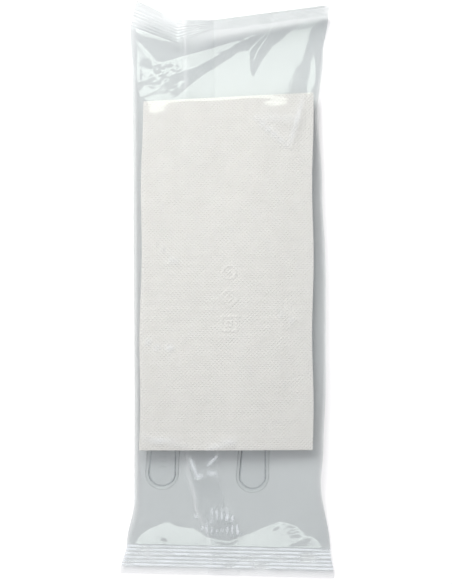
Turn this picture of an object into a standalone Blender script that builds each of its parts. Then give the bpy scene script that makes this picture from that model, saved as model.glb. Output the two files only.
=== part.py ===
"""Sealed single-use cutlery pack, lying on its back with the napkin side up.

A clear film flow wrap holds a tissue napkin folded to an eighth, a clear knife and a clear fork.
Metres, +Z up. The origin is under the middle of the pack, on the surface it lies on; +Y runs along
the pack towards the end seal beyond the knife's tip.
"""

from math import cos, pi, radians, sin, sqrt

import bmesh
import bpy

MM = 0.001
MERGE = 1e-7  # vertices closer than this are one vertex

# Film flow wrap: one web folded into a tube
FILM = 0.1 * MM
PACK_LENGTH = 266.4 * MM
PACK_CUT_SLOPE = -0.0239  # both ends are cut a little off square: change of y per x
TUBE_WIDTH = 90.4 * MM
TUBE_CENTRE = 1.15 * MM
TUBE_EDGE_Z = 4.5 * MM
TUBE_TOP_Z = 9.9 * MM
BACK_Z = 0.5 * MM  # underside of the back wall, above the folded fin
SEAL_Z = 2.0 * MM
SEAL_LENGTH = 13.6 * MM
BOTTOM_SEAL_WIDTH, BOTTOM_SEAL_CENTRE = 100.4 * MM, 0.0
TOP_SEAL_WIDTH, TOP_SEAL_CENTRE = 92.4 * MM, 1.1 * MM
CRIMPS, CRIMP_PITCH, CRIMP_HEIGHT = 6, 1.75 * MM, 0.3 * MM
# The top seal is puckered by a pleat and curls up: (x, y of its lower border, tilt in degrees), mm
TOP_CURL = [(-45.3, 124.1, 41), (-23.3, 115.9, 48), (-8.5, 121.5, 78), (47.5, 129.7, 80)]
FIN_WIDTH, FIN_ROOT, FIN_SLOPE = 15.0 * MM, -20.0 * MM, -0.01
FIN_GAP = 0.3 * MM
VENT_RADIUS, VENT_X, VENT_Y = 0.5 * MM, 20.0 * MM, 40.0 * MM
FULL_FROM, FULL_TO = -76.5 * MM, 94.0 * MM  # the tube has its full height between these
FLAT_BACK_FROM, FLAT_BACK_TO = -98.0 * MM, 97.0 * MM  # and its back lies flat between these

# Tissue napkin: 325 x 330 mm, folded in half three times
LEAF_WIDTH, LEAF_LENGTH = 81.0 * MM, 165.0 * MM
TISSUE, TISSUE_GAP = 0.275 * MM, 0.05 * MM
NAPKIN_CENTRE = (0.9 * MM, 8.8 * MM)
NAPKIN_Z = 6.6 * MM

# Cutlery, moulded in clear polystyrene
CUTLERY_Z = 0.9 * MM
HANDLE_THICK, HANDLE_END = 2.8 * MM, 7.75 * MM  # the butt's end is round, of this radius
PANEL_DEPTH, PANEL_RIM, PANEL_DRAFT = 0.9 * MM, 1.6 * MM, 0.25 * MM
KNIFE_LENGTH, KNIFE_BUTT = 187.0 * MM, (-31.0 * MM, -92.8 * MM)
KNIFE_TILT = radians(-3.8)
KNIFE_PANEL_END, KNIFE_TIP = 78 * MM, 2.5 * MM
EDGE_THICK, SPINE_THICK = 0.6 * MM, 1.8 * MM
TEETH_FROM, TEETH_TO, TOOTH_STEP, TOOTH_DEPTH = 108 * MM, 168 * MM, 1.2 * MM, 0.45 * MM
FORK_LENGTH, FORK_BUTT = 178.0 * MM, (11.5 * MM, -94.2 * MM)
FORK_TILT = radians(-3.0)
FORK_PANEL_END, NECK = 74 * MM, 108 * MM
TINES, TINE_PITCH, TINE_ROOT, TINE_THICK = 4, 6.3 * MM, 136 * MM, 1.5 * MM


def clear_scene():
    for ob in list(bpy.data.objects):
        bpy.data.objects.remove(ob, do_unlink=True)


def make_material(name, colour, roughness, transmission=0.0):
    mat = bpy.data.materials.new(name)
    mat.use_nodes = True
    shader = mat.node_tree.nodes["Principled BSDF"]
    shader.inputs["Base Color"].default_value = (*colour, 1.0)
    shader.inputs["Roughness"].default_value = roughness
    shader.inputs["Metallic"].default_value = 0.0
    shader.inputs["Transmission Weight"].default_value = transmission
    return mat


def add_object(name, bm, mat, crease=radians(35)):
    """Turns a finished bmesh into a named object, smooth apart from its sharp edges."""
    bmesh.ops.remove_doubles(bm, verts=bm.verts, dist=MERGE)
    bmesh.ops.dissolve_degenerate(bm, edges=bm.edges, dist=MERGE)
    mesh = bpy.data.meshes.new(name)
    bm.to_mesh(mesh)
    bm.free()
    mesh.shade_smooth()
    mesh.set_sharp_from_angle(angle=crease)
    mesh.materials.append(mat)
    ob = bpy.data.objects.new(name, mesh)
    bpy.context.collection.objects.link(ob)
    return ob


def mix(a, b, t):
    return a + (b - a) * t


def ease(t):
    """Smooth step from 0 to 1."""
    t = min(max(t, 0.0), 1.0)
    return t * t * (3 - 2 * t)


def through(keys, s):
    """Eased value at s through (station, value) keys."""
    for (s0, v0), (s1, v1) in zip(keys, keys[1:]):
        if s <= s1:
            return mix(v0, v1, ease((s - s0) / (s1 - s0)))
    return keys[-1][1]


def steps(start, end, count):
    return [mix(start, end, i / count) for i in range(count + 1)]


def slab(upper, lower, is_gap=lambda row, column: False):
    """Closed solid between two grids of points, with walls round its rim and round any gap cells."""
    bm = bmesh.new()
    rows, columns = len(upper), len(upper[0])
    top = [[bm.verts.new(p) for p in line] for line in upper]
    low = [[bm.verts.new(p) for p in line] for line in lower]
    cells = {
        (i, j) for i in range(rows - 1) for j in range(columns - 1) if not is_gap(i, j)
    }
    for i, j in sorted(cells):
        corners = [(i, j), (i, j + 1), (i + 1, j + 1), (i + 1, j)]
        bm.faces.new([top[a][b] for a, b in corners])
        bm.faces.new([low[a][b] for a, b in reversed(corners)])
        beside = [(i - 1, j), (i, j + 1), (i + 1, j), (i, j - 1)]
        for (a, b), (c, d), cell in zip(corners, corners[1:] + corners[:1], beside):
            if cell not in cells:
                bm.faces.new([top[c][d], top[a][b], low[a][b], low[c][d]])
    loose = [v for v in bm.verts if not v.link_faces]
    bmesh.ops.delete(bm, geom=loose, context="VERTS")
    bmesh.ops.recalc_face_normals(bm, faces=bm.faces)
    return bm


# ---------------------------------------------------------------- film wrap


def fullness(y):
    """How far the front wall and the back wall have opened from flat seal to full tube at y."""
    seal = PACK_LENGTH / 2 - SEAL_LENGTH
    if y < 0:
        front = (y + seal) / (FULL_FROM + seal)
        back = (y + seal) / (FLAT_BACK_FROM + seal)
    else:
        front = (seal - y) / (seal - FULL_TO)
        back = (seal - y) / (seal - FLAT_BACK_TO)
    return ease(front), ease(back)


def crimp(y):
    """Height of the corrugation pressed into both walls of an end seal."""
    into_seal = abs(y) - (PACK_LENGTH / 2 - SEAL_LENGTH)
    if not 0 < into_seal < CRIMPS * CRIMP_PITCH:
        return 0.0
    return CRIMP_HEIGHT * sin(2 * pi * into_seal / CRIMP_PITCH)


# Share of the tube's width, and how far the front and the back wall there are from the edge's
# height to their flat's
SECTION = [
    (0.0, 0.0, 0.0),
    (0.02, 0.52, 0.52),
    (0.045, 0.917, 0.97),
    (0.1, 0.963, 1.0),
    (0.2, 0.98, 1.0),
    (0.5, 1.0, 1.0),
]
SECTION += [(1 - share, *heights) for share, *heights in reversed(SECTION[:-1])]


def wall(y, front, inset):
    """One wall's (x, z) points across the tube at y, from its left edge to its right edge."""
    opening, back = fullness(y)
    rise = opening if front else back
    seal_width = BOTTOM_SEAL_WIDTH if y < 0 else TOP_SEAL_WIDTH
    seal_centre = BOTTOM_SEAL_CENTRE if y < 0 else TOP_SEAL_CENTRE
    width = mix(seal_width, TUBE_WIDTH, opening) - 2 * inset
    centre = mix(seal_centre, TUBE_CENTRE, opening)
    side = 1 if front else -1
    face_z = (TUBE_TOP_Z if front else BACK_Z) - side * inset
    flat_z = SEAL_Z + crimp(y) + side * (FILM - inset)
    edge_z = mix(SEAL_Z + crimp(y), TUBE_EDGE_Z, 0.5 * (opening + back))
    points = []
    for share, front_height, back_height in SECTION:
        x = centre + (share - 0.5) * width
        full = mix(edge_z, face_z, front_height if front else back_height)
        edge = share in (0.0, 1.0)
        points.append((x, edge_z if edge else mix(flat_z, full, rise)))
    return points


def height_on(points, x):
    """Height of a wall at x."""
    for (x0, z0), (x1, z1) in zip(points, points[1:]):
        if x <= x1:
            return mix(z0, z1, (x - x0) / (x1 - x0))
    return points[-1][1]


def fin_outline(y, back):
    """The fin seal's points on the back, from the wall under its tip round to the wall at its root."""
    root = FIN_ROOT + FIN_SLOPE * y
    tip = root + FIN_WIDTH
    joint = root + 2 * FILM
    gap = FIN_GAP * ease((fullness(y)[1] - 0.02) * 5)
    under = {x: height_on(back, x) - gap for x in (tip, joint, root)}
    return [
        (tip, height_on(back, tip)),
        (joint, height_on(back, joint)),
        (joint, under[joint]),
        (tip, under[tip]),
        (tip, under[tip] - 2 * FILM),
        (root, under[root] - 2 * FILM),
        (root, height_on(back, root)),
    ]


def outer_ring(y):
    """Outline of the tube and its fin at y, and the index of its first fin point."""
    back = wall(y, front=False, inset=0.0)
    fin = fin_outline(y, back)
    middle = len(back) // 2
    right, left = back[middle:-1], back[1:middle]
    ring = wall(y, front=True, inset=0.0) + right[::-1]
    return ring + fin + left[::-1], len(ring)


def inner_ring(y):
    front, back = wall(y, True, FILM), wall(y, False, FILM)
    return front + back[-2:0:-1]


def curl(x):
    """Place along the pack and tilt of the top seal's lower border at x."""
    for (x0, y0, tilt0), (x1, y1, tilt1) in zip(TOP_CURL, TOP_CURL[1:]):
        if x <= x1 * MM or x1 == TOP_CURL[-1][0]:
            t = (x / MM - x0) / (x1 - x0)
            return mix(y0, y1, t) * MM, radians(mix(tilt0, tilt1, t))


def lay(x, y, z):
    """Where a point of the straight pack lies once its ends are cut and its top seal has curled."""
    cut = y + PACK_CUT_SLOPE * x
    if y <= FULL_TO:
        return x, cut, z
    border, tilt = curl(x)
    seal = PACK_LENGTH / 2 - SEAL_LENGTH
    if y <= seal:
        t = (y - FULL_TO) / (seal - FULL_TO)
        return x, mix(cut, mix(FULL_TO, border, t), t), z
    into, lift = y - seal, z - SEAL_Z
    return x, border + into * cos(tilt) - lift * sin(tilt), SEAL_Z + into * sin(tilt) + lift * cos(tilt)


def add_ring(bm, ring, y):
    return [bm.verts.new(lay(x, y, z)) for x, z in ring]


def film_stations():
    """Rings along the pack: every half crimp in the seals, closer together where the tube opens."""
    end, seal = PACK_LENGTH / 2, PACK_LENGTH / 2 - SEAL_LENGTH
    crimps = [seal + (i + 0.5) * CRIMP_PITCH / 2 for i in range(2 * CRIMPS)]
    lower_seal = [-end] + [-y for y in reversed(crimps)]
    tube = steps(-seal, FLAT_BACK_FROM, 4)[:-1] + steps(FLAT_BACK_FROM, FULL_FROM, 3)
    tube += [0.0] + steps(FULL_TO, seal, 5)
    return lower_seal, tube, crimps + [end]


def vent_cutter():
    """Needle that pierces the back wall, so that air can leave the sealed tube."""
    bm = bmesh.new()
    bmesh.ops.create_cone(
        bm, cap_ends=True, segments=12, radius1=VENT_RADIUS, radius2=VENT_RADIUS, depth=0.6 * MM
    )
    cutter = add_object("vent_needle", bm, make_material("needle", (0.5, 0.5, 0.5), 0.5))
    cutter.location = (VENT_X, VENT_Y, BACK_Z + FILM / 2)
    cutter.hide_render = True
    cutter.display_type = "WIRE"
    return cutter


def make_film_wrap():
    """Film tube with crimped ends, and a fin seal folded flat against its back."""
    bm = bmesh.new()
    lower_seal, tube, upper_seal = film_stations()
    stations = lower_seal + tube + upper_seal
    fin_at = outer_ring(0.0)[1]
    rings = [add_ring(bm, outer_ring(y)[0], y) for y in stations]
    count = len(rings[0])
    welded = range(fin_at, fin_at + 3)  # wall over the fin, its root's inner side, its upper face
    for n, (ring, beyond) in enumerate(zip(rings, rings[1:])):
        in_tube = len(lower_seal) <= n < len(stations) - len(upper_seal) - 1
        for i in range(count):
            if in_tube or i not in welded:
                k = (i + 1) % count
                bm.faces.new([ring[i], ring[k], beyond[k], beyond[i]])
    in_weld = {ring[fin_at + i] for ring in (rings[0], rings[-1]) for i in (1, 2)}
    for ring in (rings[0][::-1], rings[-1]):
        bm.faces.new([v for v in ring if v not in in_weld])
    inner = [add_ring(bm, inner_ring(y), y) for y in tube]
    for ring, beyond in zip(inner, inner[1:]):
        for i in range(len(ring)):
            k = (i + 1) % len(ring)
            bm.faces.new([ring[k], ring[i], beyond[i], beyond[k]])
    film = add_object("film_wrap", bm, make_material("clear_film", (0.86, 0.9, 0.92), 0.06, 0.9))
    vent = film.modifiers.new("vent", "BOOLEAN")
    vent.operation = "DIFFERENCE"
    vent.object = vent_cutter()


# ---------------------------------------------------------------- napkin


def arc(centre, radius, start, end, count):
    """Points and outward normals of an arc, angles in degrees from +X."""
    out = []
    for angle in steps(radians(start), radians(end), count):
        normal = (cos(angle), sin(angle))
        out.append(((centre[0] + radius * normal[0], centre[1] + radius * normal[1]), normal))
    return out


def turned(points):
    return [(p, (-n[0], -n[1])) for p, n in points]


def cross_fold():
    """Path of the doubled sheet across the napkin in (x, z), with its normals.

    It starts at the free edge of the top leaf, folds round the left side to the bottom leaf, back on
    itself at the right side, and once more inside the left fold, to its other free edge.
    """
    pitch = 2 * (TISSUE + TISSUE_GAP)
    half = LEAF_WIDTH / 2 - 1.5 * pitch
    level = [pitch * (i + 0.5) for i in range(4)]
    path = [((half + pitch, level[3]), (0, 1))]
    path += arc((-half, 2 * pitch), 1.5 * pitch, 90, 270, 10)
    path += arc((half, pitch), 0.5 * pitch, -90, 90, 6)
    path += turned(arc((-half, 2 * pitch), 0.5 * pitch, 270, 90, 6))
    return path + [((half + pitch, level[2]), (0, -1))]


def end_fold():
    """Path of one layer along the napkin in (y, offset), folded over at the pack's lower end."""
    radius = (TISSUE + TISSUE_GAP) / 2
    half = LEAF_LENGTH / 2
    path = [((half, radius), (0, 1))]
    path += arc((radius - half, 0.0), radius, 90, 270, 6)
    return path + [((half, -radius), (0, -1))]


def make_napkin():
    """Tissue sheet folded to an eighth: one fold across its end, then two along its length."""
    faces = []
    for side in (TISSUE / 2, -TISSUE / 2):
        grid = []
        for (x, z), (nx, nz) in cross_fold():
            line = []
            for (y, offset), (ny, no) in end_fold():
                across = offset + side * no
                place = (x + across * nx, y + side * ny, z + across * nz)
                line.append(place)
            grid.append(line)
        faces.append(grid)
    napkin = add_object("napkin", slab(*faces), make_material("tissue", (0.87, 0.86, 0.83), 0.95))
    napkin.location = (*NAPKIN_CENTRE, NAPKIN_Z)


# ---------------------------------------------------------------- cutlery


def round_end(radius, s):
    """Half width of a round end of this radius at distance s from its tip."""
    return sqrt(max(radius**2 - max(radius - s, 0.0) ** 2, 0.0))


def end_rows(radius, count=7):
    """Distances from a round end's tip, closer together near the tip."""
    return [radius * (1 - cos(angle)) for angle in steps(0.0, pi / 2, count)]


def panel_widths(s, half, panel_end):
    """Half widths of the rim's inside and of the sunk panel, at s along a handle."""
    radius = half - PANEL_RIM
    near = round_end(HANDLE_END - PANEL_RIM, s - PANEL_RIM) if s > PANEL_RIM else 0.0
    far = round_end(radius, panel_end - s) if s < panel_end else 0.0
    panel = max(min(near, far, radius), 0.0)
    return min(panel + PANEL_DRAFT, half), panel


def handle_rows(half, panel_end):
    """Stations for the butt's round end and for both round ends of the panel."""
    rows = end_rows(half) + [PANEL_RIM + s for s in end_rows(half - PANEL_RIM)]
    return rows + [panel_end - s for s in end_rows(half - PANEL_RIM, 5)]


def knife_sides(s):
    """Widths of the knife on its straight side and on its toothed cutting side, at s from the butt."""
    straight = [(0, 7.75), (20, 7.6), (84, 5.4), (110, 6.2), (160, 5.4), (187, 2.5)]
    curved = [(0, 7.75), (20, 7.6), (84, 5.4), (104, 10.4), (150, 10.2), (187, 2.5)]
    spine, belly = (through([(a * MM, b * MM) for a, b in keys], s) for keys in (straight, curved))
    if TEETH_FROM < s < TEETH_TO and round(s / TOOTH_STEP) % 2:
        belly -= TOOTH_DEPTH
    for radius, to_end in ((HANDLE_END, s), (KNIFE_TIP, KNIFE_LENGTH - s)):
        if to_end < radius:
            spine = belly = round_end(radius, to_end)
    return spine, belly


def knife_thickness(s, share):
    """Thickness at s, and at a share of the width from the cutting edge to the spine."""
    blade = mix(EDGE_THICK, SPINE_THICK, share)
    return mix(HANDLE_THICK, blade, ease((s - KNIFE_PANEL_END) / (18 * MM)))


def make_knife():
    """Knife lying on its side: a sunk-panel handle and a toothed blade with a round tip."""
    rows = handle_rows(HANDLE_END, KNIFE_PANEL_END) + steps(84 * MM, 104 * MM, 5)
    rows += [TOOTH_STEP * i for i in range(88, 142)]
    rows += [KNIFE_LENGTH - s for s in [14 * MM, 10 * MM, 6 * MM] + end_rows(KNIFE_TIP)]
    upper, lower = [], []
    for s in sorted(set(rows)):
        spine, belly = knife_sides(s)
        rim, panel = panel_widths(s, spine, KNIFE_PANEL_END)
        if not panel:
            rim = 0.5 * spine
        sunk = PANEL_DEPTH if panel else 0.0
        top, low = [], []
        dips = [0.0, 0.0, sunk, sunk, sunk, 0.0, 0.0]
        for x, dip in zip([-belly, -rim, -panel, 0.0, panel, rim, spine], dips):
            share = (x + belly) / max(spine + belly, MM)
            half = knife_thickness(s, share) / 2 - dip
            top.append((x, s, HANDLE_THICK / 2 + half))
            low.append((x, s, HANDLE_THICK / 2 - half))
        upper.append(top)
        lower.append(low)
    plastic = make_material("knife_plastic", (0.92, 0.94, 0.95), 0.05, 1.0)
    knife = add_object("knife", slab(upper, lower), plastic)
    knife.location = (*KNIFE_BUTT, CUTLERY_Z)
    knife.rotation_euler.z = KNIFE_TILT


def fork_half(s):
    """Half width of the fork at s from the butt."""
    keys = [(0, 7.4), (20, 7.3), (104, 3.6), (134, 11.6), (150, 12.2), (178, 11.4)]
    half = through([(a * MM, b * MM) for a, b in keys], s)
    return round_end(half, s) if s < half else half


def fork_lift(s):
    """Height of the fork's underside: an arched neck, a low bowl and lifted tips."""
    keys = [(0, 0), (88, 0), (108, 1.3), (138, 0.0), (178, 3.0)]
    return through([(a * MM, b * MM) for a, b in keys], s)


def tine_edges(s):
    """The two edges of each tine at s, left to right."""
    to_tip = ease((s - TINE_ROOT) / (FORK_LENGTH - TINE_ROOT))
    half = mix(2.1 * MM, 1.0 * MM, to_tip)
    if FORK_LENGTH - s < half:
        half = max(round_end(half, FORK_LENGTH - s), 0.4 * MM)
    pitch = TINE_PITCH * mix(1.0, 0.94, to_tip)
    centres = [(i - (TINES - 1) / 2) * pitch for i in range(TINES)]
    return [c + side * half for c in centres for side in (-1, 1)]


def fork_columns(s):
    """Places across the fork at s: the rim and panel of the handle, which turn into the tines' edges."""
    half = fork_half(s)
    rim, panel = panel_widths(s, half, FORK_PANEL_END)
    plain = [-half, -rim, -panel, -panel / 3, panel / 3, panel, rim, half]
    if s >= FORK_PANEL_END:
        plain = [half * share for share in (-1, -0.72, -0.5, -0.17, 0.17, 0.5, 0.72, 1)]
    into_head = ease((s - NECK) / (TINE_ROOT - NECK))
    return [mix(a, b, into_head) for a, b in zip(plain, tine_edges(s))], panel > 0


def make_fork():
    """Fork lying on its back: a sunk-panel handle, a narrow neck and four lifted tines."""
    rows = handle_rows(7.4 * MM, FORK_PANEL_END) + steps(80 * MM, TINE_ROOT - 2 * MM, 14)
    rows += steps(TINE_ROOT, FORK_LENGTH - MM, 10) + [FORK_LENGTH - 0.4 * MM, FORK_LENGTH]
    rows = sorted(set(rows))
    upper, lower = [], []
    for s in rows:
        xs, in_panel = fork_columns(s)
        dips = [PANEL_DEPTH if in_panel and 1 < j < 6 else 0.0 for j in range(len(xs))]
        thick = mix(HANDLE_THICK, TINE_THICK, ease((s - 80 * MM) / (60 * MM)))
        lift = fork_lift(s)
        upper.append([(x, s, lift + thick - dip) for x, dip in zip(xs, dips)])
        lower.append([(x, s, lift + dip) for x, dip in zip(xs, dips)])
    root_row = rows.index(TINE_ROOT)
    body = slab(upper, lower, is_gap=lambda row, column: row >= root_row and column % 2 == 1)
    fork = add_object("fork", body, make_material("fork_plastic", (0.92, 0.94, 0.95), 0.05, 1.0))
    fork.location = (*FORK_BUTT, CUTLERY_Z)
    fork.rotation_euler.z = FORK_TILT


clear_scene()
make_film_wrap()
make_napkin()
make_knife()
make_fork()
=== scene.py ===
# %% [markdown]
# # A sealed pack of clear plastic cutlery
# The pack is a clear film flow wrap round a folded tissue napkin, a clear knife and a clear fork. The film
# hides nothing, so each piece inside is finished as carefully as the film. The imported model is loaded
# first: it is the fixed frame, in metres, and every new piece takes its place from it.

# %% Load the frame
from math import pi, radians, sqrt

import bmesh
import bpy
import numpy as np
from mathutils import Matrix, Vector, geometry, noise


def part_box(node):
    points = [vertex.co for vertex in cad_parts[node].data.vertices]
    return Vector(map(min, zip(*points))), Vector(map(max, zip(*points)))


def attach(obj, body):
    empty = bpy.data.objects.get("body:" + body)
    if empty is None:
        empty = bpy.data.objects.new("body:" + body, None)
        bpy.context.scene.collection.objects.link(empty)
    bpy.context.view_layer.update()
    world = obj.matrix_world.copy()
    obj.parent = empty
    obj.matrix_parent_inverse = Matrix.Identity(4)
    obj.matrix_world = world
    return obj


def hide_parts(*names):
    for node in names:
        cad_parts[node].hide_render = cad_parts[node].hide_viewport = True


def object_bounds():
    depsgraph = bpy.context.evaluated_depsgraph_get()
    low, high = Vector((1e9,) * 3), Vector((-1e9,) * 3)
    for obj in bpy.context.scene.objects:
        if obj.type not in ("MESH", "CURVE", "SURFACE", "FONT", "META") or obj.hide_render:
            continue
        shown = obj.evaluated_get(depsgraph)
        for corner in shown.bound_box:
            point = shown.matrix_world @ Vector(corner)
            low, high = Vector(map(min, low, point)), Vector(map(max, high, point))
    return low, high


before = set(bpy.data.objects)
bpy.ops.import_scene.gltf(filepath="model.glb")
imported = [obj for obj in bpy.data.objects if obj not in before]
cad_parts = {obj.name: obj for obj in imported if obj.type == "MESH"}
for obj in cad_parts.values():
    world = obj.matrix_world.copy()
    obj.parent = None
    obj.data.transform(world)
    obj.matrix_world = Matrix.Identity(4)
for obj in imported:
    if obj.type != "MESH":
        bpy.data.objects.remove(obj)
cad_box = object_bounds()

MM = 0.001
print("CAD box in mm:", [[round(v / MM, 1) for v in corner] for corner in cad_box])

# %% [markdown]
# ## Small helpers
# Colours are written as sRGB hex and turned linear by one function. One helper adds a shader node with its
# settings and links. The others deselect everything before a primitive is added, and apply a modifier,
# because every operator acts on what is selected. A thin folded sheet is easiest to shape by moving the
# vertices of a grid all at once, so two helpers read and set every vertex's place.

# %% Helpers for colours and nodes


def linear(hex_colour):
    """Linear RGBA of an sRGB hex colour."""
    channels = [int(hex_colour[i : i + 2], 16) / 255 for i in (1, 3, 5)]
    return (*[c / 12.92 if c <= 0.04045 else ((c + 0.055) / 1.055) ** 2.4 for c in channels], 1.0)


def new_material(name):
    """A node material with an empty tree and its output node."""
    mat = bpy.data.materials.new(name)
    mat.use_nodes = True
    mat.node_tree.nodes.clear()
    return mat, mat.node_tree


def add_node(tree, kind, inputs=None, **settings):
    """Adds a node with its settings; an input is a value or another node's output socket."""
    made = tree.nodes.new(kind)
    for name, value in settings.items():
        setattr(made, name, value)
    for name, value in (inputs or {}).items():
        if isinstance(value, bpy.types.NodeSocket):
            tree.links.new(value, made.inputs[name])
        else:
            made.inputs[name].default_value = value
    return made


def math_node(tree, operation, *values):
    """Output of a Math node on values or other nodes' output sockets."""
    return add_node(tree, "ShaderNodeMath", dict(enumerate(values)), operation=operation).outputs[0]


print("#808080 is", round(linear("#808080")[0], 3), "in linear light")

# %% Helpers for modelling


def deselect():
    """Leaves edit mode and selects nothing."""
    if bpy.context.object and bpy.context.object.mode != "OBJECT":
        bpy.ops.object.mode_set(mode="OBJECT")
    bpy.ops.object.select_all(action="DESELECT")


def select_only(ob):
    """Selects one object and makes it the active one."""
    deselect()
    ob.select_set(True)
    bpy.context.view_layer.objects.active = ob


def apply_modifier(ob, kind, **settings):
    """Adds a modifier with its settings and applies it."""
    select_only(ob)
    bpy.ops.object.modifier_add(type=kind)
    modifier = ob.modifiers[-1]
    for name, value in settings.items():
        setattr(modifier, name, value)
    bpy.ops.object.modifier_apply(modifier=modifier.name)


def add_grid(name, columns, rows):
    """A flat grid primitive, and each vertex's column and row number."""
    deselect()
    bpy.ops.mesh.primitive_grid_add(x_subdivisions=columns, y_subdivisions=rows, size=1)
    ob = bpy.context.object
    ob.name = ob.data.name = name
    flat = np.empty(len(ob.data.vertices) * 3)
    ob.data.vertices.foreach_get("co", flat)
    flat = flat.reshape(-1, 3)
    column = np.rint((flat[:, 0] + 0.5) * columns).astype(int)
    row = np.rint((flat[:, 1] + 0.5) * rows).astype(int)
    return ob, column, row


def set_places(ob, x, y, z):
    """Moves every vertex, given in millimetres."""
    ob.data.vertices.foreach_set("co", (np.column_stack([x, y, z]) * MM).ravel())
    ob.data.update()


def places(ob):
    """Every vertex's x, y and z, in millimetres."""
    flat = np.empty(len(ob.data.vertices) * 3)
    ob.data.vertices.foreach_get("co", flat)
    return (flat.reshape(-1, 3) / MM).T


def finish_piece(ob, material, node, smooth_angle):
    """Shades a finished mesh, gives it its material and lets it stand for its CAD node."""
    select_only(ob)
    bpy.ops.object.shade_smooth_by_angle(angle=radians(smooth_angle))
    ob.data.materials.clear()
    ob.data.materials.append(material)
    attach(ob, "root")
    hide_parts(node)
    print(ob.name, "has", len(ob.data.vertices), "vertices and", len(ob.data.polygons), "faces")


def ease(t):
    """Smooth step from 0 to 1, for numbers and arrays."""
    t = np.clip(t, 0.0, 1.0)
    return t * t * (3 - 2 * t)


def mix(a, b, t):
    """The value t of the way from a to b."""
    return a + (b - a) * t


print("a smooth step a quarter of the way along:", round(float(ease(0.25)), 3))

# %% [markdown]
# ## Camera
# The pack lies flat and is seen from straight above. A long lens keeps its straight sides straight. The
# picture's height takes in 274.5 mm of the table, a little more than the pack's length.

# %% Camera
VIEW_HEIGHT = 274.5 * MM
LENS, SENSOR = 100.0, 36.0  # millimetres of lens and sensor height
VIEW_CENTRE = (-0.5 * MM, -0.2 * MM)

camera_data = bpy.data.cameras.new("camera")
camera_data.lens = LENS
camera_data.sensor_width = SENSOR
camera_data.clip_start = 0.01
camera = bpy.data.objects.new("camera", camera_data)
bpy.context.scene.collection.objects.link(camera)
camera.location = (*VIEW_CENTRE, VIEW_HEIGHT * LENS / SENSOR)
bpy.context.scene.camera = camera
print("camera height", round(camera.location.z, 3), "m")

# %% [markdown]
# ## Table and studio light
# Clear film shows only what it reflects and what is behind it, so the light is most of its look. Four
# softboxes hang round the pack. The key stands beyond the far end, where the sloping film mirrors it in
# bright patches. The low one stands off the near end, and is seen only as a reflection there. The window
# softbox, over the far left, gives the soft shadows to the right and below, and the wide fill overhead
# softens them. Those two are kept out of the gloss, so that the flat film stays clear. The colours are
# shown as they are measured, with the plain Standard view.

# %% Table
TABLE_SIZE = 3.0
deselect()
bpy.ops.mesh.primitive_plane_add(size=TABLE_SIZE, location=(0, 0, cad_box[0][2] - 0.05 * MM))
table = bpy.context.object
table.name = "table"
paint, tree = new_material("painted_table")
surface = add_node(tree, "ShaderNodeBsdfDiffuse", {"Color": linear("#FCFCFB")})
add_node(tree, "ShaderNodeOutputMaterial", {"Surface": surface.outputs[0]})
table.data.materials.append(paint)
print("table top at", round(table.location.z / MM, 2), "mm")

# %% Lights


def softbox(name, centre, size, power, tint, in_diffuse=True, in_gloss=True):
    """An area light that faces the pack."""
    data = bpy.data.lights.new(name, "AREA")
    data.shape = "RECTANGLE"
    data.size, data.size_y = size
    data.energy = power
    data.color = linear(tint)[:3]
    ob = bpy.data.objects.new(name, data)
    bpy.context.scene.collection.objects.link(ob)
    ob.location = centre
    ob.rotation_euler = Vector(centre).to_track_quat("Z", "Y").to_euler()
    ob.visible_diffuse = in_diffuse
    ob.visible_glossy = in_gloss
    ob.visible_transmission = in_gloss
    ob.visible_camera = False
    print(name, power, "W,", round(ob.location.length, 2), "m from the pack")


softbox("key_softbox", (-0.2, 0.745, 0.92), (0.8, 0.44), 3.2, "#F6FFF3")
softbox("window_softbox", (-0.28, 0.42, 0.55), (0.42, 0.42), 4.4, "#FFFBFD", in_gloss=False)
softbox("low_softbox", (0.0, -0.98, 0.72), (0.9, 0.38), 3.0, "#F6FFF7", in_diffuse=False)
softbox("fill_softbox", (0.1, 0.0, 1.6), (1.6, 1.6), 8.2, "#FFFBFF", in_gloss=False)

# %% Studio round the table, and how light is traced
scene = bpy.context.scene
scene.world = bpy.data.worlds.new("studio")
scene.world.use_nodes = True
walls = scene.world.node_tree.nodes["Background"]
walls.inputs["Color"].default_value = linear("#F6F4FA")
walls.inputs["Strength"].default_value = 0.455
scene.view_settings.view_transform = "Standard"
scene.view_settings.look = "None"
# Light crosses two walls of film, and in and out of the cutlery, before and after it meets the table
scene.cycles.transparent_max_bounces = 32
scene.cycles.max_bounces = 16
scene.cycles.transmission_bounces = 14
print("pale studio of strength", round(walls.inputs["Strength"].default_value, 3))

# %% [markdown]
# ## Stretched film
# The wrap is biaxially stretched polypropylene film, about 30 micrometres thick: perfectly smooth, glossy
# and clear, with a faint grey cast. Film this thin does not bend the light behind it, so it is a tinted
# Transparent shader with a sharp Glossy one laid over it by angle. The share that is reflected follows
# Schlick's rule, from about 4% at each face to all of it at a grazing angle. An attribute on the mesh,
# welded, is highest on the fin, where two layers are melted into one and leave fewer faces to reflect.

# %% Film material: clear skin
FILM_FACE_REFLECTION = 0.045
WELD_LOSS = 0.8  # share of the reflection that a full weld takes away
RIPPLES = 140.0  # to a metre: one about every 7 mm

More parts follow.
